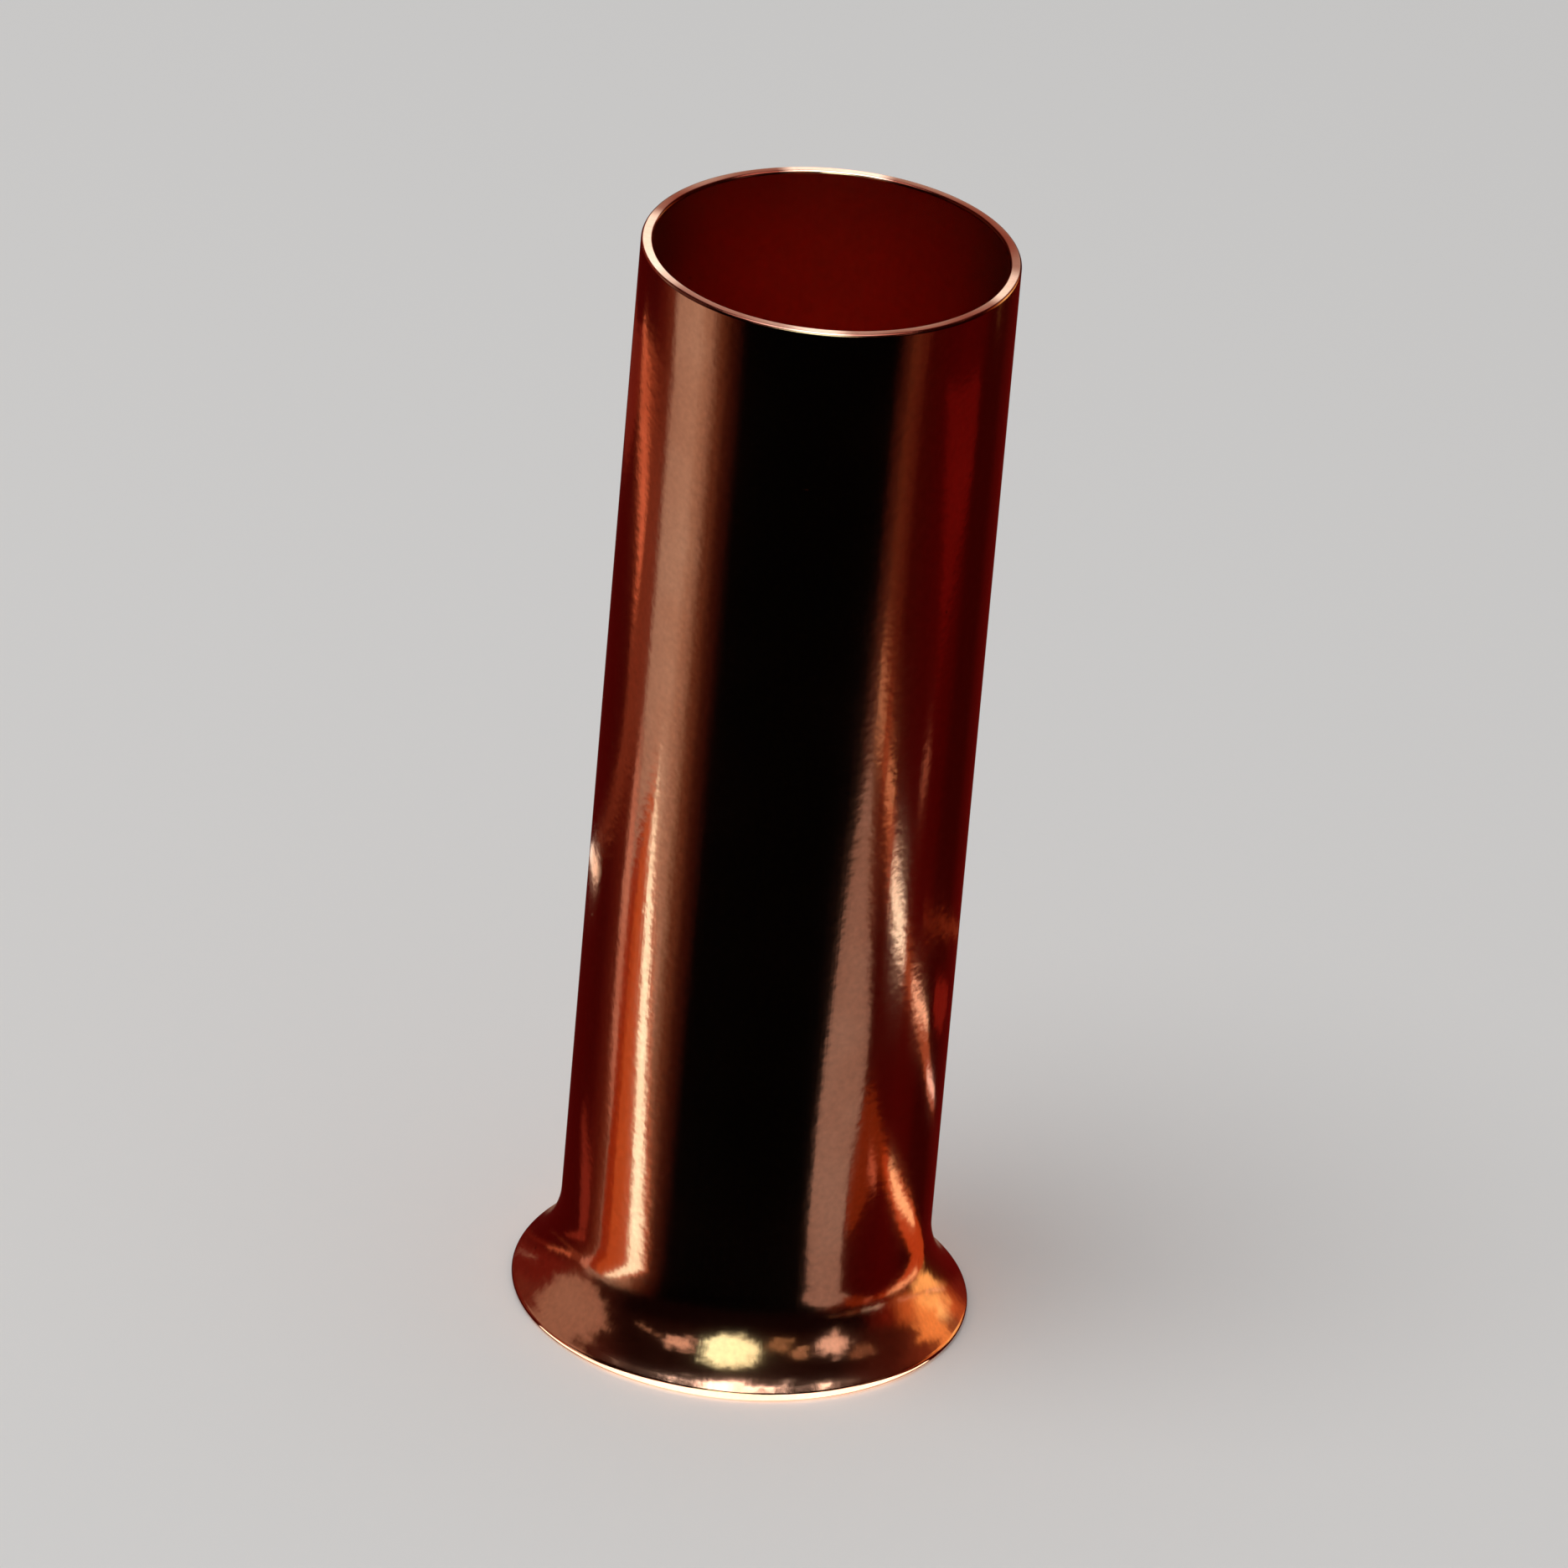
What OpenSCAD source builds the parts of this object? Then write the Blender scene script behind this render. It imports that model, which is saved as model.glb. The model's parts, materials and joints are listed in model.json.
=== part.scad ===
// Bare copper wire ferrule: a thin seamless sleeve with a trumpet mouth at one
// end and a square cut at the other. It stands on the rim of its mouth, with
// its axis on Z and the origin at the centre of the rim's flat land.

/* [Sleeve] */
// Inside diameter of the straight bore that takes the wire
bore_d = 4.5; // [3.5:0.1:7.3]
// Thickness of the copper wall
wall_t = 0.15; // [0.1:0.01:0.3]
// Overall length, from the mouth's rim to the cut end
length = 15; // [10:0.5:25]

/* [Mouth] */
// How far the rim stands out beyond the straight barrel, on each side
flare_out = 0.56; // [0.3:0.02:0.8]
// Radius of the trumpet's bend, on the outside of the wall
bend_r = 1.55; // [1:0.05:2.5]
// Width of the flat land on the rounded rim, which the ferrule stands on
rim_land = 0.06; // [0.02:0.01:0.08]

/* [Cut end] */
// Radius on both edges of the cut end
cut_edge_r = 0.04; // [0.01:0.01:0.04]

/* [Hidden] */
$fn = 96;

bore_r = bore_d / 2;
barrel_r = bore_r + wall_t;

// The rim is a full round as thick as the wall. Its centre follows the middle
// of the wall round the bend, until it is as far out as the flare asks.
rim_r = wall_t / 2;
mid_bend_r = bend_r + rim_r;
bend_angle = acos(1 - flare_out / mid_bend_r);

// The land cuts a little off the round of the rim. The bend ends, and the
// straight wall starts, this high above it.
land_depth = rim_r - sqrt(rim_r ^ 2 - (rim_land / 2) ^ 2);
bend_z = mid_bend_r * sin(bend_angle) + rim_r - land_depth;

// Everything above the X axis, wide and tall enough to take the whole section
module upper_half() {
    translate([-2 * length, 0])
        square(4 * length);
}

// Everything below the X axis
module lower_half() {
    translate([-2 * length, -4 * length])
        square(4 * length);
}

// A quarter of a disc, which rounds one edge of the cut end. side is 1 for the
// outer edge and -1 for the one on the bore.
module edge_round(side) {
    intersection() {
        circle(cut_edge_r);
        upper_half();
        rotate(-90 * side)
            upper_half();
    }
}

// Section of the wall between bore and barrel, up to the rounded cut end
module straight_wall() {
    edge_z = length - cut_edge_r;
    translate([bore_r, 0])
        square([wall_t, edge_z]);
    translate([bore_r + cut_edge_r, edge_z]) {
        square([wall_t - 2 * cut_edge_r, cut_edge_r]);
        edge_round(-1);
    }
    translate([barrel_r - cut_edge_r, edge_z])
        edge_round(1);
}

// Section of the trumpet, about the centre of its bend: a sector of a ring,
// from the straight wall to the rim, and the rim's round where the ring ends
module trumpet() {
    difference() {
        circle(bend_r + wall_t);
        circle(bend_r);
        upper_half();
        rotate(bend_angle)
            lower_half();
    }
    rotate(bend_angle)
        translate([-mid_bend_r, 0])
            intersection() {
                circle(rim_r);
                lower_half();
            }
}

// The whole section: straight above the bend, trumpet below it down to the land
module ferrule_section() {
    intersection() {
        straight_wall();
        translate([0, bend_z])
            upper_half();
    }
    intersection() {
        translate([barrel_r + bend_r, bend_z])
            trumpet();
        upper_half();
    }
}

module ferrule_sleeve() {
    color([0.80, 0.47, 0.36])
        rotate_extrude()
            ferrule_section();
}

ferrule_sleeve();
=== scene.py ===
"""A bare copper wire ferrule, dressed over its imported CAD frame.

The ferrule is one seamless sleeve of thin polished copper: a straight barrel with a
square cut at the top, and a trumpet mouth at the foot, on whose rim it stands. The
sleeve is turned from the wall's own outline, dressed in three copper finishes, and
stood on a plain pale floor in a small studio. Lengths are in metres, apart from the
outlines of the light cards, and azimuths are in degrees to the right of the camera's
side.
"""

from __future__ import annotations

import json
import logging
import math
from dataclasses import dataclass, field
from enum import Enum
from typing import Any, Callable, Union

import bpy
from mathutils import Matrix, Vector


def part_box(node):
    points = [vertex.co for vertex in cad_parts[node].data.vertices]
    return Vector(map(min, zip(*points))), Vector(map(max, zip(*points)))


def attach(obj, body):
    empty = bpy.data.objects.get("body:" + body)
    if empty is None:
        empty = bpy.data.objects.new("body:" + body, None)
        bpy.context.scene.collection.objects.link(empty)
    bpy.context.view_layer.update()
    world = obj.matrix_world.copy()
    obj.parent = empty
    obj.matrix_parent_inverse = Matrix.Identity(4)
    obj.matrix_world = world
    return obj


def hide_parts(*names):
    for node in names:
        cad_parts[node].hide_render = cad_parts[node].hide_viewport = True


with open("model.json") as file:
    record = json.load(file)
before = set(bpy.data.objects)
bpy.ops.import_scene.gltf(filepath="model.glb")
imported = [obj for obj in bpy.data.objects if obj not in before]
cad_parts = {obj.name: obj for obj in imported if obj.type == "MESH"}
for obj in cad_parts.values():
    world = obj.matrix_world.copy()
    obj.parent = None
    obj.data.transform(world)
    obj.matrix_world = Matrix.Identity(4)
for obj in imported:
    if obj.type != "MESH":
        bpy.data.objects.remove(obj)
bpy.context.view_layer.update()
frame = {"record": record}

LOG = logging.getLogger("ferrule")
MM = 0.001
MERGE_REACH = 0.001 * MM
RADIUS = {m["name"]: m["dims"]["r_mm"] * MM for m in frame["record"]["mounts"] if "r_mm" in m["dims"]}
BARREL_R = RADIUS["barrel"]

Point = tuple[float, float]
Waypoint = tuple[float, float, float]
Colour = tuple[float, float, float]
Stops = tuple[tuple[float, Colour], ...]
Socket = bpy.types.NodeSocket
Input = Union[Socket, float, tuple]


def in_turns(stops: Stops) -> Stops:
    """Carries stops given by azimuth to places on a ramp from 0 to 1.

    Args:
        stops: Colours by azimuth, from -180 to 180.

    Returns:
        The same colours by parts of a turn.
    """
    return tuple((place / 360.0 + 0.5, colour) for place, colour in stops)


def grey_stops(*levels: tuple[float, float]) -> Stops:
    """Stops in grey.

    Args:
        levels: Each stop's place and how light it is.

    Returns:
        The same stops as colours.
    """
    return tuple((place, (level, level, level)) for place, level in levels)


class Surface(Enum):
    """The three places on the sleeve that have a finish of their own."""

    OUTSIDE = 0
    BORE = 1
    EDGES = 2


# --------------------------------------------------------------------------- shaders


class ShaderTree:
    """Short calls that put nodes in one shader tree and join them."""

    def __init__(self, tree: bpy.types.NodeTree) -> None:
        """Empties a tree and keeps it.

        Args:
            tree: The node tree of a material or a world.
        """
        self.tree = tree
        tree.nodes.clear()

    def add(
        self, kind: str, inputs: dict[Any, Input] | None = None, **settings: str | bool
    ) -> bpy.types.Node:
        """Adds a node.

        Args:
            kind: The node's type name, such as ShaderNodeBump.
            inputs: Values or output sockets for its inputs, by name or number.
            settings: The node's own properties.

        Returns:
            The new node.
        """
        node = self.tree.nodes.new(kind)
        for name, value in settings.items():
            setattr(node, name, value)
        for name, value in (inputs or {}).items():
            if isinstance(value, Socket):
                self.tree.links.new(value, node.inputs[name])
            else:
                node.inputs[name].default_value = value
        return node

    def math(self, operation: str, *values: Input) -> Socket:
        """One arithmetic step.

        Args:
            operation: The Math node's operation, such as ADD.
            values: Its numbers or sockets, in order.

        Returns:
            The socket that carries the result.
        """
        return self.add("ShaderNodeMath", dict(enumerate(values)), operation=operation).outputs[0]

    def vector(self, operation: str, *values: Input) -> Socket:
        """One step of vector arithmetic.

        Args:
            operation: The Vector Math node's operation, such as ADD.
            values: Its vectors or sockets, in order.

        Returns:
            The socket that carries the result.
        """
        node = self.add("ShaderNodeVectorMath", dict(enumerate(values)), operation=operation)
        return node.outputs["Value" if operation == "DOT_PRODUCT" else "Vector"]

    def turn(self, place: Socket) -> Socket:
        """How far round the ferrule a place or a direction lies.

        Args:
            place: The socket of the place or direction.

        Returns:
            The socket of its part of a turn, from 0 to 1, where 0.5 is the camera's side.
        """
        parts = self.add("ShaderNodeSeparateXYZ", {"Vector": place}).outputs
        angle = self.math("ARCTAN2", parts["X"], self.math("MULTIPLY", parts["Y"], -1.0))
        return self.math("MULTIPLY_ADD", angle, 1.0 / math.tau, 0.5)

    def span(
        self, value: Socket, low: float, high: float, to_low: float = 0.0, to_high: float = 1.0
    ) -> Socket:
        """A value carried smoothly from one range to another and held at its ends.

        Args:
            value: The socket to carry over.
            low: The start of the range it comes from.
            high: The end of that range.
            to_low: What the start becomes.
            to_high: What the end becomes.

        Returns:
            The socket that carries the result.
        """
        inputs = {"Value": value, "From Min": low, "From Max": high, "To Min": to_low, "To Max": to_high}
        node = self.add("ShaderNodeMapRange", inputs, interpolation_type="SMOOTHSTEP", clamp=True)
        return node.outputs["Result"]

    def mix(self, factor: Socket, first: Input, second: Input) -> Socket:
        """Two colours mixed.

        Args:
            factor: The socket of how much of the second shows.
            first: The first colour or its socket.
            second: The second colour or its socket.

        Returns:
            The socket that carries the mixed colour.
        """
        factor_at, first_at, second_at, mixed_at = 0, 6, 7, 2
        inputs: dict[Any, Input] = {factor_at: factor}
        for place, colour in ((first_at, first), (second_at, second)):
            inputs[place] = (*colour, 1.0) if isinstance(colour, tuple) else colour
        return self.add("ShaderNodeMix", inputs, data_type="RGBA").outputs[mixed_at]

    def ramp(self, value: Socket, stops: Stops) -> Socket:
        """A colour ramp that eases from stop to stop.

        Args:
            value: The socket that runs along the ramp, from 0 to 1.
            stops: The places and colours of the ramp, in order.

        Returns:
            The socket that carries the colour.
        """
        node = self.add("ShaderNodeValToRGB", {"Fac": value})
        node.color_ramp.interpolation = "EASE"
        elements = node.color_ramp.elements
        for index, (place, colour) in enumerate(stops):
            stop = elements[index] if index < 2 else elements.new(place)
            stop.position = place
            stop.color = (*colour, 1.0)
        return node.outputs["Color"]


@dataclass(frozen=True)
class CopperFinish:
    """One finish of the copper: its colour, its gloss and the grain of its skin.

    The grain is the fine orange peel of drawn and annealed copper, with draw marks
    along the tube, a slow wave and a few pits. A finish with painted reflection shows
    its copper only as far as those stops say, by azimuth, and is painted dark elsewhere.
    On the cut end this is painted reflection: bright and dark stretches that stand in for
    what the ring would mirror among other parts, colour and not gloss.
    """

    name: str
    bright: Colour = (0.93, 0.51, 0.35)
    deep: Colour = (0.87, 0.43, 0.28)
    edge_tint: Colour = (1.0, 0.86, 0.74)
    pit_colour: Colour = (0.50, 0.20, 0.11)
    roughness: float = 0.10
    roughness_swing: float = 0.07
    peel_size: float = 0.13 * MM
    peel_depth: float = 0.0015 * MM
    draw_width: float = 0.035 * MM
    draw_length: float = 3.0 * MM
    draw_depth: float = 0.00022 * MM
    patch_size: float = 1.4 * MM
    patch_start: float = 0.3
    patch_end: float = 0.7
    mottle_size: float = 0.085 * MM
    mottle_depth: float = 0.16
    wave_size: float = 1.6 * MM
    wave_depth: float = 0.004 * MM
    pit_spacing: float = 0.7 * MM
    pit_reach: float = 0.045
    pit_floor: float = 0.6
    # Painted reflection: the painted dark colour, and the stops by azimuth that say where it shows.
    painted_dark_reflection: Colour = (0.15, 0.018, 0.009)
    painted_reflection_stops: Stops = ()

    def build(self) -> bpy.types.Material:
        """Makes the finish as a material.

        Returns:
            The new material.
        """
        material = bpy.data.materials.new(self.name)
        material.use_nodes = True
        shader = ShaderTree(material.node_tree)
        place = shader.add("ShaderNodeTexCoord").outputs["Object"]

        patches = self._noise(shader, place, self.patch_size, detail=2.0)
        draw = self._noise(shader, self._along(shader, place), self.draw_width, detail=1.0)
        pits = self._pits(shader, place)
        copper = self._colour(shader, place, patches)
        height = self._height(shader, place, draw, pits)
        bump = shader.add("ShaderNodeBump", {"Height": height, "Distance": MM})
        half_swing = 0.5 * self.roughness_swing
        rough = shader.math("MULTIPLY_ADD", patches, self.roughness_swing, self.roughness - half_swing)

        principled = shader.add(
            "ShaderNodeBsdfPrincipled",
            {
                "Base Color": shader.mix(pits, copper, self.pit_colour),
                "Roughness": shader.math("MULTIPLY_ADD", draw, half_swing, rough),
                "Metallic": 1.0,
                "Specular Tint": (*self.edge_tint, 1.0),
                "Normal": bump.outputs["Normal"],
            },
        )
        shader.add("ShaderNodeOutputMaterial", {"Surface": principled.outputs["BSDF"]})
        return material

    def _colour(self, shader: ShaderTree, place: Socket, patches: Socket) -> Socket:
        """The colour of the copper: two shades in patches, finely mottled, and painted reflection in places.

        Args:
            shader: The tree to add to.
            place: The object's own coordinates.
            patches: The cloud of large patches.

        Returns:
            The socket of the colour.
        """
        mottle = self._noise(shader, place, self.mottle_size, detail=2.0)
        shade = shader.math("MULTIPLY_ADD", mottle, 2.0 * self.mottle_depth, 1.0 - self.mottle_depth)
        copper = shader.mix(shader.span(patches, self.patch_start, self.patch_end), self.bright, self.deep)
        inputs = {"Vector": copper, "Scale": shade}
        copper = shader.add("ShaderNodeVectorMath", inputs, operation="SCALE").outputs["Vector"]
        # Painted reflection: dark where the stops are low, standing in for what the ring would mirror.
        if not self.painted_reflection_stops:
            return copper
        painted_reflection_mask = shader.ramp(shader.turn(place), in_turns(self.painted_reflection_stops))
        return shader.mix(painted_reflection_mask, self.painted_dark_reflection, copper)

    def _height(self, shader: ShaderTree, place: Socket, draw: Socket, pits: Socket) -> Socket:
        """The height of the grain.

        Args:
            shader: The tree to add to.
            place: The object's own coordinates.
            draw: The cloud of draw marks.
            pits: The cover of the pits.

        Returns:
            The socket of the height, in millimetres.
        """
        peel = self._noise(shader, place, self.peel_size, detail=1.5)
        wave = self._noise(shader, place, self.wave_size, detail=0.0)
        height = shader.math("MULTIPLY", peel, self.peel_depth)
        height = shader.math("MULTIPLY_ADD", draw, self.draw_depth, height)
        height = shader.math("MULTIPLY_ADD", pits, -self.peel_depth, height)
        height = shader.math("MULTIPLY_ADD", wave, self.wave_depth, height)
        return shader.math("MULTIPLY", height, 1.0 / MM)

    def _along(self, shader: ShaderTree, place: Socket) -> Socket:
        """Coordinates that run down the tube and fan out over the trumpet, without a seam.

        Args:
            shader: The tree to add to.
            place: The object's own coordinates.

        Returns:
            The socket of the coordinates.
        """
        outward = shader.vector("NORMALIZE", shader.vector("MULTIPLY", place, (1.0, 1.0, 0.0)))
        down = shader.vector("MULTIPLY", place, (0.0, 0.0, self.draw_width / self.draw_length))
        return shader.vector("MULTIPLY_ADD", outward, (BARREL_R,) * 3, down)

    def _noise(self, shader: ShaderTree, place: Socket, size: float, detail: float) -> Socket:
        """A cloud of grain.

        Args:
            shader: The tree to add to.
            place: The coordinates it is laid out on.
            size: How far apart its grains lie.
            detail: How many finer layers it carries.

        Returns:
            The socket of its height, from 0 to 1.
        """
        inputs = {"Vector": place, "Scale": 1.0 / size, "Detail": detail, "Roughness": 0.5}
        return shader.add("ShaderNodeTexNoise", inputs).outputs["Fac"]

    def _pits(self, shader: ShaderTree, place: Socket) -> Socket:
        """Small dark pits, scattered.

        Args:
            shader: The tree to add to.
            place: The coordinates they are laid out on.

        Returns:
            The socket of their cover, from 0 to 1.
        """
        cells = shader.add("ShaderNodeTexVoronoi", {"Vector": place, "Scale": 1.0 / self.pit_spacing})
        floor_reach = self.pit_floor * self.pit_reach
        return shader.span(cells.outputs["Distance"], floor_reach, self.pit_reach, 1.0, 0.0)


FINISHES: dict[Surface, CopperFinish] = {
    Surface.OUTSIDE: CopperFinish("drawn_copper"),
    Surface.BORE: CopperFinish(
        "bore_copper",
        bright=(0.86, 0.42, 0.29),
        deep=(0.80, 0.34, 0.23),
        roughness=0.14,
        draw_depth=0.0004 * MM,
    ),
    # The cut end: paler copper, a painted highlight for the light line of its rim.
    Surface.EDGES: CopperFinish(
        "burnished_edge_copper",
        bright=(0.95, 0.62, 0.48),
        deep=(0.92, 0.54, 0.40),
        roughness=0.14,
        wave_size=1.1 * MM,
        wave_depth=0.14 * MM,
        peel_depth=0.0008 * MM,
        draw_depth=0.0008 * MM,
        # Painted reflection round the cut end: bright stretches, with painted dark ones between.
        painted_reflection_stops=grey_stops(
            (-180, 1.0), (-167, 0.95), (-160, 0.03), (-148, 0.03), (-132, 0.08), (-120, 0.0),
            (-110, 0.05), (-101, 0.80), (-68, 1.0), (-59, 0.55), (-50, 0.13), (-28, 0.10),
            (-14, 0.24), (-4, 0.90), (2, 0.90), (10, 0.16), (24, 0.03), (46, 0.02), (60, 0.04),
            (69, 0.75), (80, 0.60), (90, 0.04), (102, 0.0), (134, 0.0), (146, 0.03), (161, 0.05),
            (168, 1.0), (180, 1.0),
        ),
    ),
}


# ------------------------------------------------------------------------------ shape


def arc(centre: Point, radius: float, start: float, end: float, steps: int) -> list[Point]:
    """Points on an arc of the wall's outline, both ends included.

    Args:
        centre: Its centre as (radius, height).
        radius: Its radius.
        start: The angle of its first point, in degrees from the outward direction.
        end: The angle of its last point.
        steps: How many equal steps it is cut into.

    Returns:
        Its points as (radius, height).
    """
    angles = (math.radians(start + (end - start) * step / steps) for step in range(steps + 1))
    return [(centre[0] + radius * math.cos(angle), centre[1] + radius * math.sin(angle)) for angle in angles]


def select_only(piece: bpy.types.Object, kind: str, test: Callable[[Any], bool]) -> None:
    """Selects, in edit mode, only what passes a test.

    Args:
        piece: The mesh piece, which is in edit mode.
        kind: The mesh's collection to pick from: vertices or polygons.
        test: Says whether one of them is picked.
    """
    bpy.ops.mesh.select_mode(type="VERT" if kind == "vertices" else "FACE")
    bpy.ops.mesh.select_all(action="DESELECT")
    bpy.ops.object.mode_set(mode="OBJECT")
    for element in getattr(piece.data, kind):
        element.select = test(element)
    bpy.ops.object.mode_set(mode="EDIT")


def draw_loop(name: str, points: list[Vector]) -> bpy.types.Object:
    """Draws a closed outline from one vertex, extruded step by step, and leaves it in edit mode.

    Args:
        name: The name of the new piece.
        points: The corners of the outline, in order.

    Returns:
        The new piece, whose last and first corners are joined by an edge.
    """
    bpy.ops.object.select_all(action="DESELECT")
    bpy.ops.mesh.primitive_plane_add(size=MM, location=(0.0, 0.0, 0.0))
    piece = bpy.context.active_object
    piece.name = piece.data.name = name
    bpy.ops.object.mode_set(mode="EDIT")
    bpy.ops.mesh.select_mode(type="VERT")
    bpy.ops.mesh.select_all(action="SELECT")
    bpy.ops.mesh.merge(type="CENTER")
    bpy.ops.transform.translate(value=points[0])
    for before, after in zip(points, points[1:]):
        bpy.ops.mesh.extrude_region_move(TRANSFORM_OT_translate={"value": after - before})
    ends = (points[0], points[-1])
    select_only(
        piece, "vertices", lambda vertex: any((vertex.co - end).length < MERGE_REACH for end in ends)
    )
    bpy.ops.mesh.edge_face_add()
    bpy.ops.mesh.select_all(action="SELECT")
    return piece


# ----------------------------------------------------------------------------- sleeve


@dataclass
class FerruleSleeve:
    """The ferrule: a straight sleeve with a trumpet mouth at its foot."""

    bore_r: float
    barrel_r: float
    mouth_r: float
    length: float
    bend_r: float = 1.55 * MM
    rim_land: float = 0.06 * MM
    cut_edge_r: float = 0.04 * MM
    barrel_rows: int = 12
    bend_steps: int = 20
    rim_steps: int = 12
    inner_rim_steps: int = 3
    edge_steps: int = 6
    turn_steps: int = 224
    smooth_angle: float = 40.0
    name: str = "ferrule_sleeve_skin"
    finishes: dict[Surface, CopperFinish] = field(default_factory=lambda: FINISHES)

    @classmethod
    def from_frame(cls) -> FerruleSleeve:
        """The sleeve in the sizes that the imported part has.

        Returns:
            A sleeve that fits the CAD node.
        """
        low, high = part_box("ferrule_sleeve")
        return cls(RADIUS["wire_bore"], BARREL_R, 0.5 * (high.x - low.x), high.z - low.z)

    @property
    def wall(self) -> float:
        """The thickness of the copper wall."""
        return self.barrel_r - self.bore_r

    @property
    def bend_angle(self) -> float:
        """How far the trumpet turns outwards from the barrel, in degrees."""
        middle = self.bend_r + 0.5 * self.wall
        return math.degrees(math.acos(1.0 - (self.mouth_r - self.barrel_r) / middle))

    @property
    def bend_height(self) -> float:
        """The height at which the barrel starts to turn outwards.

        Returns:
            The height over the land that the ferrule stands on.
        """
        rim_r = 0.5 * self.wall
        land_depth = rim_r - math.sqrt(rim_r**2 - (0.5 * self.rim_land) ** 2)
        return (self.bend_r + rim_r) * math.sin(math.radians(self.bend_angle)) + rim_r - land_depth

    def outline(self) -> list[Point]:
        """The wall's closed outline: over the cut end, down the outside, round the rim, up the bore.

        Returns:
            Its points as (radius, height).
        """
        edge_r, rim_r, turn = self.cut_edge_r, 0.5 * self.wall, self.bend_angle
        edge_z = self.length - edge_r
        bend = (self.barrel_r + self.bend_r, self.bend_height)
        rim = arc(bend, self.bend_r + rim_r, 180.0 + turn, 180.0, 1)[0]
        land = math.degrees(math.asin(rim[1] / rim_r))
        points = arc((self.bore_r + edge_r, edge_z), edge_r, 180.0, 90.0, self.edge_steps)
        points += arc((self.barrel_r - edge_r, edge_z), edge_r, 90.0, 0.0, self.edge_steps)
        points += self._rows(self.barrel_r, edge_z, bend[1])
        points += arc(bend, self.bend_r, 180.0, 180.0 + turn, self.bend_steps)
        points += arc(rim, rim_r, turn, -land, self.rim_steps)[1:]
        points += arc(rim, rim_r, land - 180.0, turn - 180.0, self.inner_rim_steps)
        points += arc(bend, self.bend_r + self.wall, 180.0 + turn, 180.0, self.bend_steps)[1:]
        points += self._rows(self.bore_r, bend[1], edge_z)
        return points

    def _rows(self, radius: float, start: float, end: float) -> list[Point]:
        """Points up or down a straight side, its two ends left out."""
        step = (end - start) / self.barrel_rows
        return [(radius, start + step * row) for row in range(1, self.barrel_rows)]

    def build(self) -> bpy.types.Object:
        """Models the sleeve and dresses it.

        Returns:
            The finished piece, with its place in its mesh.
        """
        piece = self._turn(self.outline())
        self._dress(piece)
        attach(piece, "root")
        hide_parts("ferrule_sleeve")
        faces = len(piece.data.polygons)
        LOG.info("%s: %d faces, standing %.2f mm tall", piece.name, faces, self.length / MM)
        return piece

    def _turn(self, points: list[Point]) -> bpy.types.Object:
        """Draws the outline and spins it round the axis.

        Args:
            points: The outline as (radius, height).

        Returns:
            The closed, smooth sleeve.
        """
        piece = draw_loop(self.name, [Vector((radius, 0.0, height)) for radius, height in points])
        bpy.ops.mesh.spin(
            steps=self.turn_steps, angle=math.tau, center=(0.0, 0.0, 0.0), axis=(0.0, 0.0, 1.0)
        )
        bpy.ops.mesh.select_all(action="SELECT")
        bpy.ops.mesh.remove_doubles(threshold=MERGE_REACH)
        bpy.ops.mesh.normals_make_consistent(inside=False)
        bpy.ops.object.mode_set(mode="OBJECT")
        bpy.ops.object.shade_smooth_by_angle(angle=math.radians(self.smooth_angle))
        return piece

    def _dress(self, piece: bpy.types.Object) -> None:
        """Gives the outside, the bore and the edges their finishes.

        Args:
            piece: The sleeve.
        """
        for surface in Surface:
            piece.data.materials.append(self.finishes[surface].build())
        edge_z = self.length - self.cut_edge_r
        tests: dict[Surface, Callable[[Any], bool]] = {
            Surface.BORE: lambda face: face.normal.xy.dot(face.center.xy) < 0.0 and face.center.z < edge_z,
            Surface.EDGES: lambda face: face.center.z > edge_z,
        }
        for surface, test in tests.items():
            bpy.ops.object.mode_set(mode="EDIT")
            select_only(piece, "polygons", test)
            piece.active_material_index = surface.value
            bpy.ops.object.material_slot_assign()
            bpy.ops.object.mode_set(mode="OBJECT")


# ----------------------------------------------------------------------------- studio


@dataclass
class Viewpoint:
    """The camera: a long lens, looking down at the ferrule from its front.

    The lens is given by the width that it frames at the aim, and its sensor's width,
    in millimetres. The lean is how far it is rolled, in degrees.
    """

    elevation: float = 27.7
    distance: float = 216.0 * MM
    frame_width: float = 20.0 * MM
    lean: float = 5.1
    sensor: float = 36.0
    nearest: float = 10.0 * MM
    furthest: float = 10.0
    aim: Vector = field(default_factory=lambda: Vector((0.0, 0.0, 7.4 * MM)))

    @property
    def back(self) -> Vector:
        """The unit vector from the aim back to the camera."""
        lift = math.radians(self.elevation)
        return Vector((0.0, -math.cos(lift), math.sin(lift)))

    @property
    def eye(self) -> Vector:
        """Where the camera stands."""
        return self.aim + self.back * self.distance

    def build(self) -> None:
        """Makes the camera and hands it to the scene."""
        back, right = self.back, Vector((1.0, 0.0, 0.0))
        up = back.cross(right)
        turned = Matrix.Rotation(math.radians(self.lean), 3, back)
        right, up = turned @ right, turned @ up
        bpy.ops.object.camera_add(location=self.eye)
        camera = bpy.context.active_object
        camera.name = "camera"
        camera.rotation_euler = Matrix((right, up, back)).transposed().to_euler()
        camera.data.sensor_width = self.sensor
        camera.data.lens = self.sensor * self.distance / self.frame_width
        camera.data.clip_start = self.nearest
        camera.data.clip_end = self.furthest
        bpy.context.scene.camera = camera
        LOG.info("camera: %.0f mm lens at %.0f degrees", camera.data.lens, self.elevation)


@dataclass(frozen=True)
class SoftSpot:
    """A round soft light, far off, that shows only in the gloss of the copper."""

    azimuth: float
    elevation: float
    half_width: float
    softness: float
    colour: Colour

    def direction(self) -> Vector:
        """The unit vector towards the light."""
        turn, lift = math.radians(self.azimuth), math.radians(self.elevation)
        return Vector((math.sin(turn) * math.cos(lift), -math.cos(turn) * math.cos(lift), math.sin(lift)))


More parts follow.
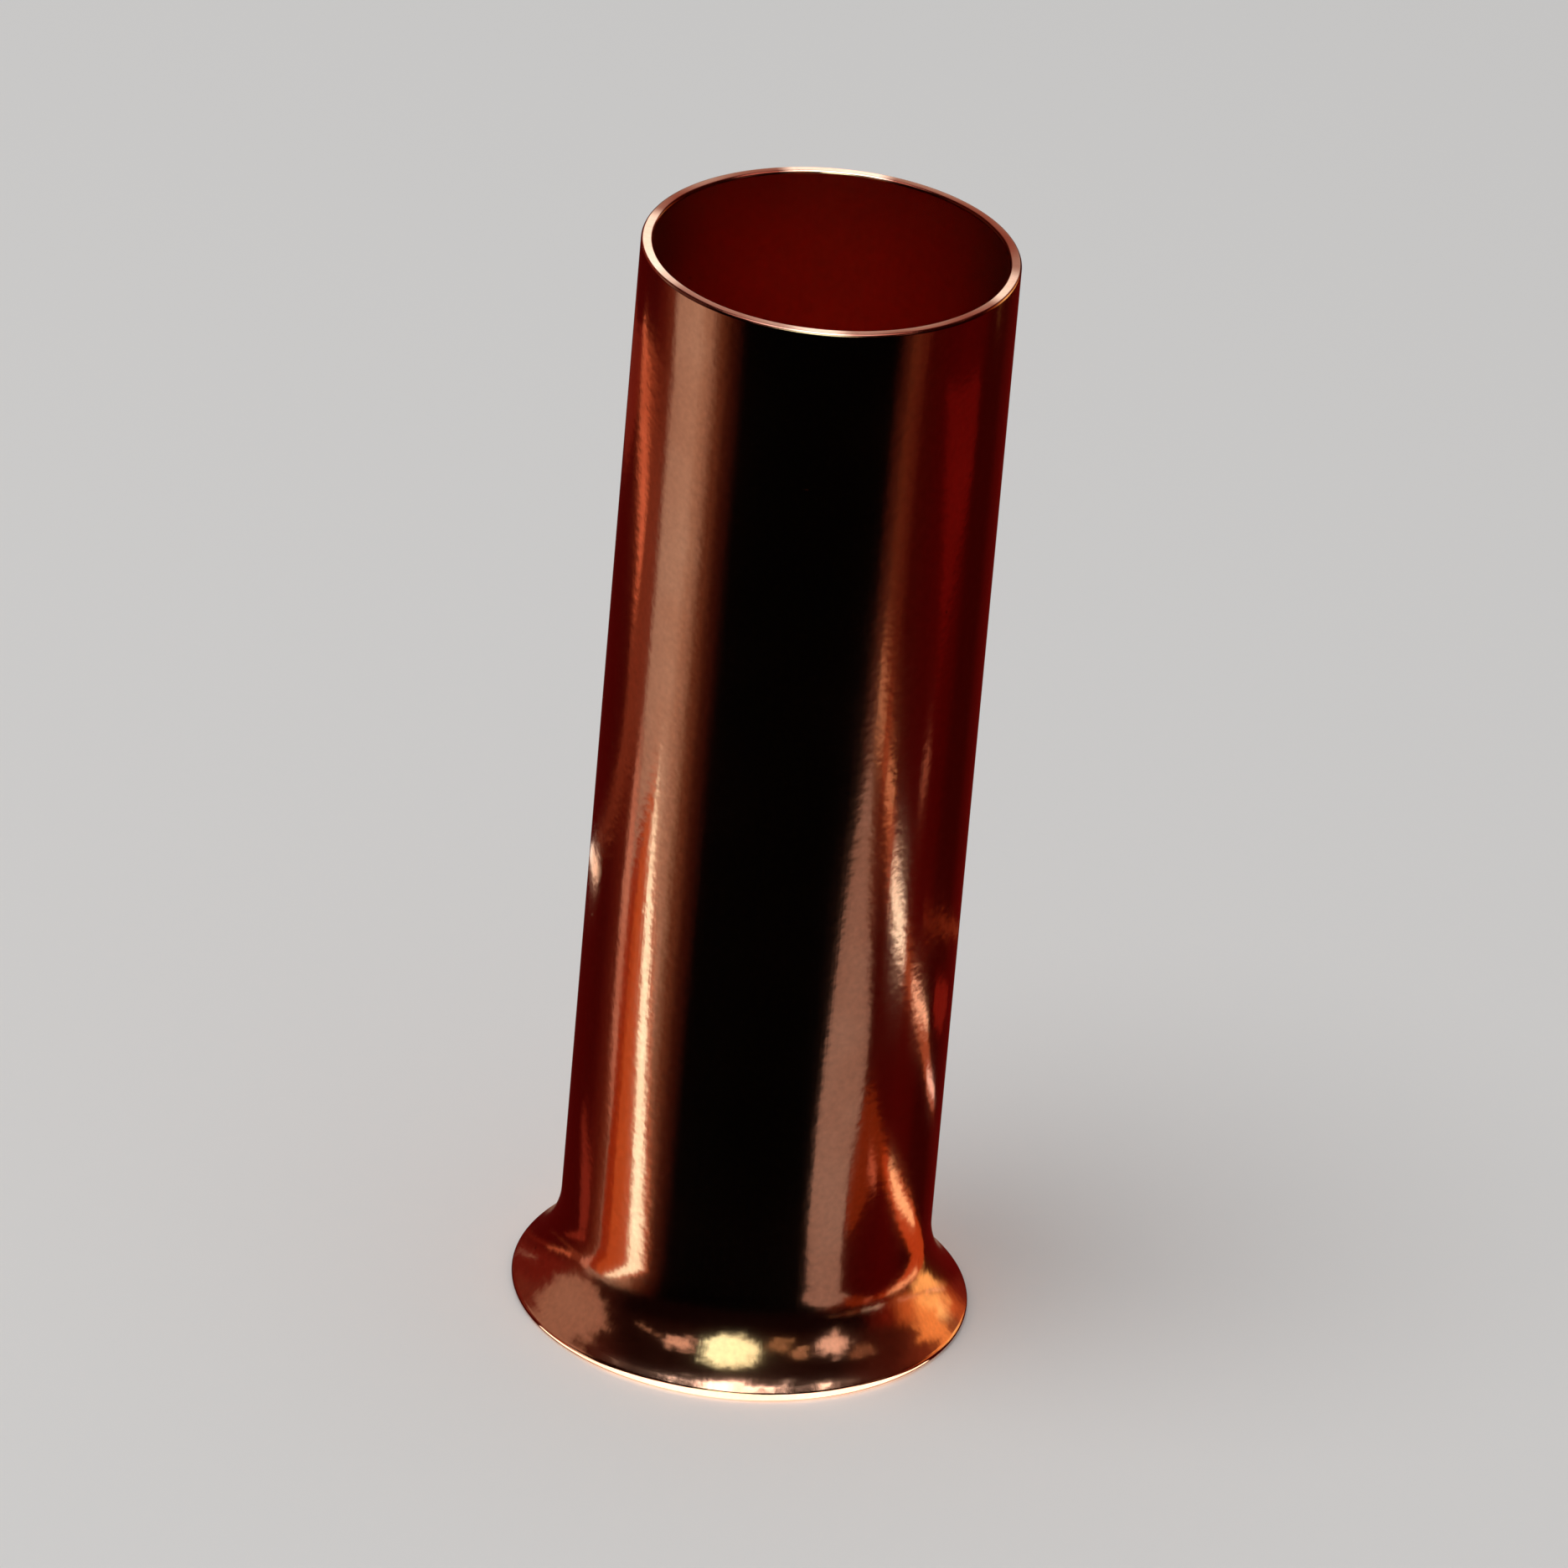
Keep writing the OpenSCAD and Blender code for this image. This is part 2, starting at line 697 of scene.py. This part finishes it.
@dataclass(frozen=True)
class LightCard:
    """A flat glowing card under the floor that shows only in the gloss of the copper.

    Its outline's points are (x, y), in millimetres.
    """

    name: str
    colour: Colour
    outline: tuple[Point, ...]
    depth: float = 0.2 * MM

    def corners(self) -> list[Vector]:
        """The places of its corners, in order."""
        return [Vector((x * MM, y * MM, -self.depth)) for x, y in self.outline]

    def shape(self) -> bpy.types.Object:
        """Cuts the card.

        Returns:
            The card, in edit mode.
        """
        card = draw_loop(self.name, self.corners())
        bpy.ops.mesh.edge_face_add()
        return card

    def build(self) -> None:
        """Makes the card and lights it up."""
        card = self.shape()
        bpy.ops.object.mode_set(mode="OBJECT")
        material = bpy.data.materials.new(self.name)
        material.use_nodes = True
        shader = ShaderTree(material.node_tree)
        glow = shader.add("ShaderNodeEmission", {"Color": (*self.colour, 1.0), "Strength": 1.0})
        shader.add("ShaderNodeOutputMaterial", {"Surface": glow.outputs["Emission"]})
        material.cycles.emission_sampling = "NONE"
        card.data.materials.append(material)
        for ray in ("camera", "diffuse", "transmission", "volume_scatter", "shadow"):
            setattr(card, f"visible_{ray}", False)
        LOG.info("%s: %d corners", self.name, len(self.outline))


@dataclass(frozen=True)
class Gleam(LightCard):
    """A card whose outline is given where the camera sees it mirrored in the barrel.

    Its outline's points are (azimuth, height): degrees round the barrel and millimetres
    above the floor.
    """

    def corners(self) -> list[Vector]:
        """The places of its corners, in order.

        Returns:
            Where the lines of sight end that the barrel mirrors.
        """
        eye = Viewpoint().eye
        places = []
        for azimuth, height in self.outline:
            outward = Vector((*polar(1.0, azimuth), 0.0))
            mirror = outward * BARREL_R + Vector((0.0, 0.0, height * MM))
            sight = (mirror - eye).reflect(outward)
            places.append(mirror - sight * (mirror.z + self.depth) / sight.z)
        return places


@dataclass(frozen=True)
class LightBand(LightCard):
    """A low glowing wall round the foot, whose ends sink into the floor.

    Its outline is a strip's: up one side and down the other, with as many points each.
    """

    height: float = 0.45 * MM
    sink_power: int = 3

    def corners(self) -> list[Vector]:
        """The places of its lower corners, in order.

        Returns:
            The strip's corners, deeper by the wall's own height at its two ends.
        """
        places = super().corners()
        last = len(places) // 2 - 1
        for index, place in enumerate(places):
            along = min(index, 2 * last + 1 - index) / last
            place.z -= self.height * abs(2.0 * along - 1.0) ** self.sink_power
        return places

    def shape(self) -> bpy.types.Object:
        """Draws the strip under the wall and raises it.

        Returns:
            The wall, in edit mode.
        """
        band = draw_loop(self.name, self.corners())
        bpy.ops.mesh.extrude_region_move(TRANSFORM_OT_translate={"value": (0.0, 0.0, self.height)})
        return band


def polar(distance: float, azimuth: float) -> Point:
    """A point round the ferrule.

    Args:
        distance: How far from the axis.
        azimuth: Where round it.

    Returns:
        The point as (x, y).
    """
    return distance * math.sin(math.radians(azimuth)), -distance * math.cos(math.radians(azimuth))


def strip(*path: Waypoint) -> tuple[Point, ...]:
    """The outline of a bent strip.

    Args:
        path: Points along its middle as (x, y, width).

    Returns:
        Its corners as (x, y), up one side and down the other.
    """
    sides: tuple[list[Point], list[Point]] = ([], [])
    for index, (x, y, width) in enumerate(path):
        ahead, behind = path[min(index + 1, len(path) - 1)], path[max(index - 1, 0)]
        along = Vector((ahead[0] - behind[0], ahead[1] - behind[1])).normalized()
        for side, offset in zip(sides, (0.5 * width, -0.5 * width)):
            side.append((x - along.y * offset, y + along.x * offset))
    return tuple(sides[0] + sides[1][::-1])


def ring_strip(
    distance: float, start: float, end: float, steps: int, width: float, narrowing: float = 0.0
) -> tuple[Point, ...]:
    """The outline of a strip that bends round the foot, in millimetres.

    Args:
        distance: How far its middle line is from the axis.
        start: The azimuth that it starts at.
        end: The azimuth that it ends at.
        steps: How many equal steps it is cut into.
        width: Its width halfway along.
        narrowing: How much narrower it is at its two ends.

    Returns:
        Its corners as (x, y), up one side and down the other.
    """
    path = []
    for step in range(steps + 1):
        along = step / steps
        place = polar(distance, start + (end - start) * along)
        path.append((*place, width - narrowing * abs(2.0 * along - 1.0)))
    return strip(*path)


def streak(*path: Waypoint) -> tuple[Point, ...]:
    """The outline of a long gleam on the barrel.

    Args:
        path: Points down its middle as (azimuth, height, width), its width in degrees.

    Returns:
        Its corners as (azimuth, height), down its left side and up its right side.
    """
    left = [(azimuth - 0.5 * width, height) for azimuth, height, width in path]
    right = [(azimuth + 0.5 * width, height) for azimuth, height, width in path]
    return tuple(left + right[::-1])


@dataclass
class Studio:
    """Plain pale floor, soft light and what the copper mirrors.

    The copper mirrors a dark room of four zones, one above the other. Each is given by
    azimuth, and passes into the next one between two elevations. Over the zones lie soft
    spots, whose edges are ragged. Glowing cards lie round the foot and under the floor.
    """

    floor_size: float = 4.0
    floor_colour: Colour = (0.80, 0.79, 0.775)
    fill: Colour = (0.50, 0.50, 0.505)
    backdrop: Colour = (0.74, 0.735, 0.72)
    lamp_place: tuple[float, float, float] = (-0.05, -0.03, 0.16)
    lamp_size: float = 0.09
    lamp_power: float = 0.085
    ragged_scale: float = 9.0
    ragged_detail: float = 2.0
    ragged_reach: float = 0.35
    low_rise: Point = (-52.0, -38.0)
    belt_rise: Point = (-13.0, -4.0)
    upper_rise: Point = (5.0, 15.0)
    # Steeply below: the pale table close by
    steep: Stops = (
        (-180.0, (0.62, 0.52, 0.46)),
        (-150.0, (0.20, 0.09, 0.06)),
        (-105.0, (0.30, 0.16, 0.11)),
        (-80.0, (0.88, 0.82, 0.77)),
        (-45.0, (0.70, 0.62, 0.56)),
        (-20.0, (0.20, 0.11, 0.08)),
        (20.0, (0.16, 0.09, 0.07)),
        (55.0, (0.50, 0.40, 0.34)),
        (85.0, (0.62, 0.52, 0.46)),
        (115.0, (0.22, 0.08, 0.05)),
        (150.0, (0.30, 0.15, 0.10)),
        (180.0, (0.62, 0.52, 0.46)),
    )
    # A little below the level: what the barrel shows
    low: Stops = (
        (-180.0, (0.50, 0.38, 0.32)),
        (-177.0, (0.30, 0.18, 0.13)),
        (-172.0, (0.07, 0.004, 0.004)),
        (-150.0, (0.055, 0.002, 0.002)),
        (-125.0, (0.045, 0.002, 0.002)),
        (-112.0, (0.075, 0.008, 0.005)),
        (-103.0, (0.13, 0.030, 0.016)),
        (-97.0, (0.39, 0.31, 0.26)),
        (-80.0, (0.43, 0.35, 0.29)),
        (-73.0, (0.34, 0.24, 0.18)),
        (-63.0, (0.105, 0.037, 0.020)),
        (-55.0, (0.030, 0.006, 0.003)),
        (-46.0, (0.0005, 0.0005, 0.0005)),
        (45.0, (0.0005, 0.0005, 0.0005)),
        (52.0, (0.040, 0.009, 0.005)),
        (57.0, (0.095, 0.024, 0.011)),
        (62.0, (0.080, 0.014, 0.007)),
        (69.0, (0.040, 0.002, 0.001)),
        (86.0, (0.046, 0.001, 0.001)),
        (97.0, (0.055, 0.001, 0.001)),
        (108.0, (0.050, 0.001, 0.001)),
        (120.0, (0.030, 0.001, 0.001)),
        (136.0, (0.030, 0.001, 0.001)),
        (150.0, (0.060, 0.002, 0.002)),
        (164.0, (0.090, 0.003, 0.003)),
        (173.0, (0.10, 0.006, 0.005)),
        (177.0, (0.30, 0.18, 0.13)),
        (180.0, (0.50, 0.38, 0.32)),
    )
    # About level: what the foot of the trumpet shows
    belt: Stops = (
        (-180.0, (0.30, 0.14, 0.11)),
        (-165.0, (0.12, 0.015, 0.012)),
        (-125.0, (0.13, 0.014, 0.010)),
        (-100.0, (0.11, 0.024, 0.015)),
        (-84.0, (0.03, 0.008, 0.005)),
        (-60.0, (0.004, 0.001, 0.001)),
        (72.0, (0.004, 0.001, 0.001)),
        (94.0, (0.12, 0.012, 0.006)),
        (108.0, (0.55, 0.17, 0.05)),
        (121.0, (1.05, 0.52, 0.17)),
        (131.0, (1.35, 0.95, 0.42)),
        (140.0, (0.60, 0.16, 0.05)),
        (152.0, (0.15, 0.015, 0.010)),
        (165.0, (0.12, 0.015, 0.012)),
        (180.0, (0.30, 0.14, 0.11)),
    )
    # Above: what the trumpet's skirt and the cut end show
    upper: Stops = (
        (-180.0, (0.20, 0.08, 0.055)),
        (-150.0, (0.16, 0.04, 0.025)),
        (-120.0, (0.13, 0.025, 0.018)),
        (-95.0, (0.05, 0.012, 0.008)),
        (-60.0, (0.010, 0.003, 0.002)),
        (60.0, (0.010, 0.003, 0.002)),
        (95.0, (0.05, 0.010, 0.006)),
        (120.0, (0.16, 0.035, 0.018)),
        (150.0, (0.16, 0.04, 0.025)),
        (180.0, (0.20, 0.08, 0.055)),
    )
    spots: tuple[SoftSpot, ...] = (
        SoftSpot(-2.0, 30.0, 10.5, 6.5, (1.5, 2.1, 1.5)),
        SoftSpot(-31.0, 28.0, 1.0, 8.0, (0.72, 0.52, 0.41)),
        SoftSpot(-49.0, 22.0, 1.5, 4.0, (0.35, 0.22, 0.15)),
        SoftSpot(25.0, 21.0, 1.5, 6.0, (0.32, 0.23, 0.13)),
        SoftSpot(39.0, 29.0, 2.0, 4.0, (0.38, 0.27, 0.17)),
        SoftSpot(57.0, 20.0, 1.5, 9.5, (0.88, 0.72, 0.63)),
        SoftSpot(76.0, 28.0, 2.0, 5.0, (0.20, 0.11, 0.07)),
        SoftSpot(122.0, 13.0, 6.0, 7.0, (0.95, 0.42, 0.13)),
        SoftSpot(-100.0, 18.0, 18.5, 7.0, (0.31, 0.195, 0.148)),
        SoftSpot(131.0, -8.0, 6.0, 8.0, (1.20, 0.78, 0.30)),
        SoftSpot(177.0, 26.0, 14.0, 14.0, (1.50, 1.60, 1.60)),
        SoftSpot(0.0, 88.0, 25.5, 4.0, (3.4, 3.5, 3.5)),
        SoftSpot(80.0, 64.0, 10.0, 4.0, (2.6, 2.6, 2.5)),
        SoftSpot(-80.0, 64.0, 7.5, 4.0, (1.6, 1.5, 1.4)),
    )
    cards: tuple[LightCard, ...] = (
        Gleam(
            "left_white_card",
            (1.45, 1.80, 1.60),
            streak(
                (-42.0, 8.25, 0.5), (-41.25, 6.95, 2.25), (-40.25, 5.95, 2.75), (-39.25, 4.95, 3.25),
                (-38.0, 3.95, 3.5), (-36.75, 2.95, 4.0), (-35.0, 1.95, 5.0), (-34.0, 1.45, 5.5),
                (-33.5, 1.15, 5.5),
            ),
            3.0 * MM,
        ),
        Gleam(
            "left_flank_card",
            (0.46, 0.105, 0.028),
            (
                (-42.0, 8.35), (-44.5, 7.95), (-46.0, 7.25), (-46.5, 5.95), (-46.5, 4.55), (-46.0, 2.95),
                (-45.5, 1.75), (-46.5, 1.05), (-29.0, 1.05), (-30.5, 1.95), (-32.5, 2.95), (-34.5, 3.95),
                (-36.0, 4.95), (-37.25, 5.95), (-39.0, 6.95), (-41.0, 7.95),
            ),
            3.05 * MM,
        ),
        Gleam(
            "left_ember_card",
            (0.26, 0.030, 0.007),
            (
                (-43.0, 8.15), (-48.0, 7.45), (-49.75, 6.55), (-49.75, 4.55), (-49.5, 2.95), (-49.5, 1.05),
                (-42.0, 1.05), (-42.0, 2.95), (-42.0, 5.95),
            ),
            3.15 * MM,
        ),
        Gleam(
            "left_rose_card",
            (0.52, 0.27, 0.21),
            streak(
                (-50.75, 8.75, 1.0), (-51.25, 7.35, 3.0), (-51.5, 6.15, 3.25), (-51.25, 4.95, 3.0),
                (-50.25, 3.75, 1.75), (-49.5, 3.15, 0.75),
            ),
            3.1 * MM,
        ),
        Gleam(
            "left_streak_card",
            (0.68, 0.22, 0.125),
            streak(
                (-69.5, 14.85, 2.5), (-67.5, 13.95, 4.5), (-65.0, 13.35, 6.0), (-63.0, 12.75, 6.0),
                (-60.75, 12.05, 5.0), (-59.25, 11.35, 3.0), (-58.5, 10.65, 1.25),
            ),
            8.0 * MM,
        ),
        Gleam(
            "left_arc_card",
            (0.17, 0.042, 0.024),
            streak(
                (-66.5, 14.75, 8.5), (-62.5, 13.75, 14.5), (-59.5, 12.75, 15.5), (-56.5, 11.35, 11.5),
                (-55.0, 9.95, 10.5), (-55.5, 8.75, 8.5), (-60.0, 7.85, 6.5), (-65.0, 7.25, 5.5),
                (-70.5, 6.9, 5.0), (-76.0, 6.7, 3.5),
            ),
            8.1 * MM,
        ),
        Gleam(
            "left_glint_card",
            (1.30, 1.25, 1.15),
            (
                (-84.0, 6.45), (-78.5, 6.55), (-72.0, 6.5), (-68.0, 6.3), (-73.0, 6.15), (-78.5, 6.2),
                (-84.0, 6.25),
            ),
        ),
        Gleam(
            "left_edge_card",
            (0.15, 0.018, 0.012),
            ((-85.0, 14.95), (-68.5, 14.95), (-67.5, 13.75), (-71.5, 12.55), (-85.0, 12.35)),
            8.2 * MM,
        ),
        Gleam(
            "left_foot_card",
            (0.20, 0.030, 0.020),
            streak((-66.0, 2.95, 3.5), (-61.0, 2.35, 6.0), (-59.0, 1.65, 5.5), (-60.0, 1.3, 2.5)),
            3.05 * MM,
        ),
        Gleam(
            "right_pale_card",
            (0.29, 0.225, 0.20),
            (
                (25.5, 8.95), (23.0, 7.35), (21.5, 6.15), (20.5, 4.95), (19.5, 3.75), (19.5, 2.75),
                (20.0, 1.95), (21.5, 1.45), (24.0, 1.05), (33.5, 1.05), (32.0, 1.55), (31.5, 2.15),
                (32.0, 2.95), (34.0, 3.95), (35.0, 4.95), (32.5, 5.95), (30.5, 6.95), (28.5, 7.95),
                (27.0, 8.95),
            ),
            4.0 * MM,
        ),
        Gleam(
            "right_amber_card",
            (0.34, 0.095, 0.045),
            streak(
                (27.0, 10.45, 1.5), (30.0, 9.5, 2.75), (33.5, 8.55, 3.25), (37.25, 7.45, 3.75),
                (41.5, 6.65, 6.0), (46.5, 5.9, 5.0), (51.0, 5.45, 5.0), (56.0, 5.0, 6.5), (61.5, 4.35, 4.5),
                (67.0, 3.7, 5.0), (72.0, 3.25, 1.5),
            ),
            0.22 * MM,
        ),
        Gleam(
            "right_glint_1",
            (1.0, 0.75, 0.50),
            streak((27.0, 10.05, 0.75), (28.25, 9.7, 2.25), (29.75, 9.35, 0.75)),
        ),
        Gleam(
            "right_glint_2",
            (0.85, 0.50, 0.30),
            streak((32.5, 8.9, 0.75), (34.0, 8.5, 2.5), (35.75, 8.1, 0.75)),
        ),
        Gleam(
            "right_glint_3",
            (1.50, 1.80, 1.70),
            streak(
                (38.0, 7.4, 1.0), (39.75, 7.0, 3.5), (41.75, 6.6, 4.5),
                (43.75, 6.2, 3.25), (46.0, 5.9, 1.0),
            ),
        ),
        Gleam(
            "right_glint_4",
            (1.35, 1.05, 0.85),
            streak(
                (50.5, 5.55, 1.0), (53.0, 5.3, 3.25), (56.0, 5.05, 4.5),
                (59.0, 4.85, 3.0), (61.25, 4.7, 1.0),
            ),
        ),
        Gleam(
            "right_glint_5",
            (1.20, 0.95, 0.95),
            streak((63.5, 4.05, 1.0), (66.0, 3.85, 3.25), (68.75, 3.65, 3.25), (71.5, 3.45, 1.0)),
        ),
        Gleam(
            "right_glint_6",
            (0.42, 0.18, 0.13),
            streak((48.25, 8.95, 0.75), (47.5, 8.6, 2.25), (46.25, 8.2, 0.75)),
        ),
        Gleam(
            "right_crimson_card",
            (0.115, 0.004, 0.003),
            (
                (40.5, 15.55), (54.5, 15.55), (57.0, 13.75), (56.5, 12.75), (53.5, 11.55), (49.0, 10.35),
                (46.0, 11.95), (42.5, 13.75),
            ),
            12.0 * MM,
        ),
        Gleam(
            "right_ruby_card",
            (0.17, 0.012, 0.009),
            (
                (64.0, 5.35), (69.5, 5.25), (75.25, 5.05), (76.0, 4.7), (71.5, 4.45), (66.0, 4.65),
                (63.5, 4.95),
            ),
            0.24 * MM,
        ),
        Gleam(
            "right_border_card",
            (0.19, 0.035, 0.016),
            (
                (53.0, 6.55), (64.0, 6.3), (74.0, 6.05), (84.0, 5.8), (84.0, 5.6), (74.0, 5.85),
                (64.0, 6.1), (53.0, 6.4),
            ),
            0.22 * MM,
        ),
        Gleam(
            "right_brown_card",
            (0.17, 0.026, 0.006),
            (
                (35.0, 4.15), (39.0, 4.05), (46.5, 3.15), (51.0, 2.7), (48.0, 2.45), (44.0, 2.8),
                (39.0, 2.5), (35.0, 2.15), (32.0, 2.15), (32.5, 2.95), (34.25, 3.75),
            ),
            0.24 * MM,
        ),
        Gleam(
            "foot_glint_1",
            (0.60, 0.20, 0.13),
            streak((39.0, 3.15, 1.0), (40.5, 2.95, 3.0), (42.0, 2.7, 1.0)),
        ),
        Gleam(
            "foot_glint_2",
            (1.35, 0.90, 0.55),
            streak(
                (48.0, 2.9, 1.5), (51.0, 2.6, 3.5), (55.75, 2.25, 4.75),
                (60.5, 2.0, 3.5), (64.5, 1.75, 1.5),
            ),
        ),
        Gleam(
            "foot_orange_card",
            (0.48, 0.080, 0.022),
            streak(
                (44.5, 3.1, 2.0), (50.25, 2.65, 6.5), (56.5, 2.2, 9.5),
                (63.5, 1.7, 10.0), (71.0, 1.25, 9.0),
            ),
            0.22 * MM,
        ),
        LightCard(
            "foot_white_card",
            (2.80, 2.90, 2.70),
            ring_strip(3.15, -64.0, 64.0, 16, width=0.75, narrowing=0.56),
        ),
        LightBand(
            "foot_band_card",
            (2.80, 2.90, 2.70),
            ring_strip(3.20, -46.0, 59.0, 21, width=0.02),
        ),
    )

    def build(self) -> None:
        """Lays the floor and sets the light."""
        self._floor()
        self._lamp()
        self._world()
        for card in self.cards:
            card.build()

    def _floor(self) -> None:
        """A wide pale floor, kept out of the copper's gloss."""
        bpy.ops.object.select_all(action="DESELECT")
        bpy.ops.mesh.primitive_plane_add(size=self.floor_size, location=(0.0, 0.0, 0.0))
        floor = bpy.context.active_object
        floor.name = "studio_floor"
        material = bpy.data.materials.new("pale_floor")
        material.use_nodes = True
        shader = ShaderTree(material.node_tree)
        principled = shader.add(
            "ShaderNodeBsdfPrincipled",
            {"Base Color": (*self.floor_colour, 1.0), "Roughness": 1.0, "Specular IOR Level": 0.0},
        )
        shader.add("ShaderNodeOutputMaterial", {"Surface": principled.outputs["BSDF"]})
        floor.data.materials.append(material)
        floor.visible_glossy = False
        LOG.info("studio_floor: %.1f m square", self.floor_size)

    def _lamp(self) -> None:
        """One large soft lamp over the floor, which the copper doesn't mirror."""
        bpy.ops.object.light_add(type="AREA", location=self.lamp_place)
        lamp = bpy.context.active_object
        lamp.name = "overhead_softbox"
        lamp.data.shape = "DISK"
        lamp.data.size = self.lamp_size
        lamp.data.energy = self.lamp_power
        lamp.rotation_euler = (-lamp.location).to_track_quat("-Z", "Y").to_euler()
        lamp.visible_glossy = False
        lamp.visible_camera = False
        LOG.info("overhead_softbox: %.0f mm wide", self.lamp_size / MM)

    def _world(self) -> None:
        """Even fill for the floor, and the dark room with its lights for the gloss."""
        world = bpy.data.worlds.new("studio_room")
        bpy.context.scene.world = world
        world.use_nodes = True
        world.cycles.sampling_method = "NONE"
        shader = ShaderTree(world.node_tree)
        towards = shader.add("ShaderNodeTexCoord").outputs["Generated"]
        room = self._spots(shader, towards, self._zones(shader, towards))
        path = shader.add("ShaderNodeLightPath").outputs
        seen = shader.mix(path["Is Glossy Ray"], self.fill, room)
        seen = shader.mix(path["Is Camera Ray"], seen, self.backdrop)
        background = shader.add("ShaderNodeBackground", {"Color": seen, "Strength": 1.0})
        shader.add("ShaderNodeOutputWorld", {"Surface": background.outputs["Background"]})
        LOG.info("studio_room: %d soft spots", len(self.spots))

    def _zones(self, shader: ShaderTree, towards: Socket) -> Socket:
        """The four zones of the room.

        Args:
            shader: The world's tree.
            towards: The direction that is looked in.

        Returns:
            The socket of their colour.
        """
        turn = shader.turn(towards)
        height = shader.add("ShaderNodeSeparateXYZ", {"Vector": towards}).outputs["Z"]
        room = shader.ramp(turn, in_turns(self.steep))
        rises = ((self.low, self.low_rise), (self.belt, self.belt_rise), (self.upper, self.upper_rise))
        for stops, (start, end) in rises:
            rise = shader.span(height, math.sin(math.radians(start)), math.sin(math.radians(end)))
            room = shader.mix(rise, room, shader.ramp(turn, in_turns(stops)))
        return room

    def _spots(self, shader: ShaderTree, towards: Socket, room: Socket) -> Socket:
        """The soft spots, laid over the room.

        Args:
            shader: The world's tree.
            towards: The direction that is looked in.
            room: The colour of the room without them.

        Returns:
            The socket of the colour with them.
        """
        inputs = {"Vector": towards, "Scale": self.ragged_scale, "Detail": self.ragged_detail}
        cloud = shader.add("ShaderNodeTexNoise", inputs).outputs["Color"]
        ragged = shader.vector("MULTIPLY_ADD", cloud, (self.ragged_reach,) * 3, towards)
        ragged = shader.vector("ADD", ragged, (-0.5 * self.ragged_reach,) * 3)
        ragged = shader.vector("NORMALIZE", ragged)
        for spot in self.spots:
            facing = shader.vector("DOT_PRODUCT", ragged, spot.direction())
            near = math.cos(math.radians(spot.half_width))
            far = math.cos(math.radians(spot.half_width + spot.softness))
            room = shader.mix(shader.span(facing, far, near), room, spot.colour)
        return room


def main() -> None:
    """Builds the camera, the ferrule and the studio, in that order."""
    logging.basicConfig(level=logging.INFO, format="%(name)s: %(message)s")
    scene = bpy.context.scene
    scene.view_settings.view_transform = "Standard"
    scene.cycles.glossy_bounces = 12
    Viewpoint().build()
    FerruleSleeve.from_frame().build()
    Studio().build()


if __name__ == "__main__":
    main()
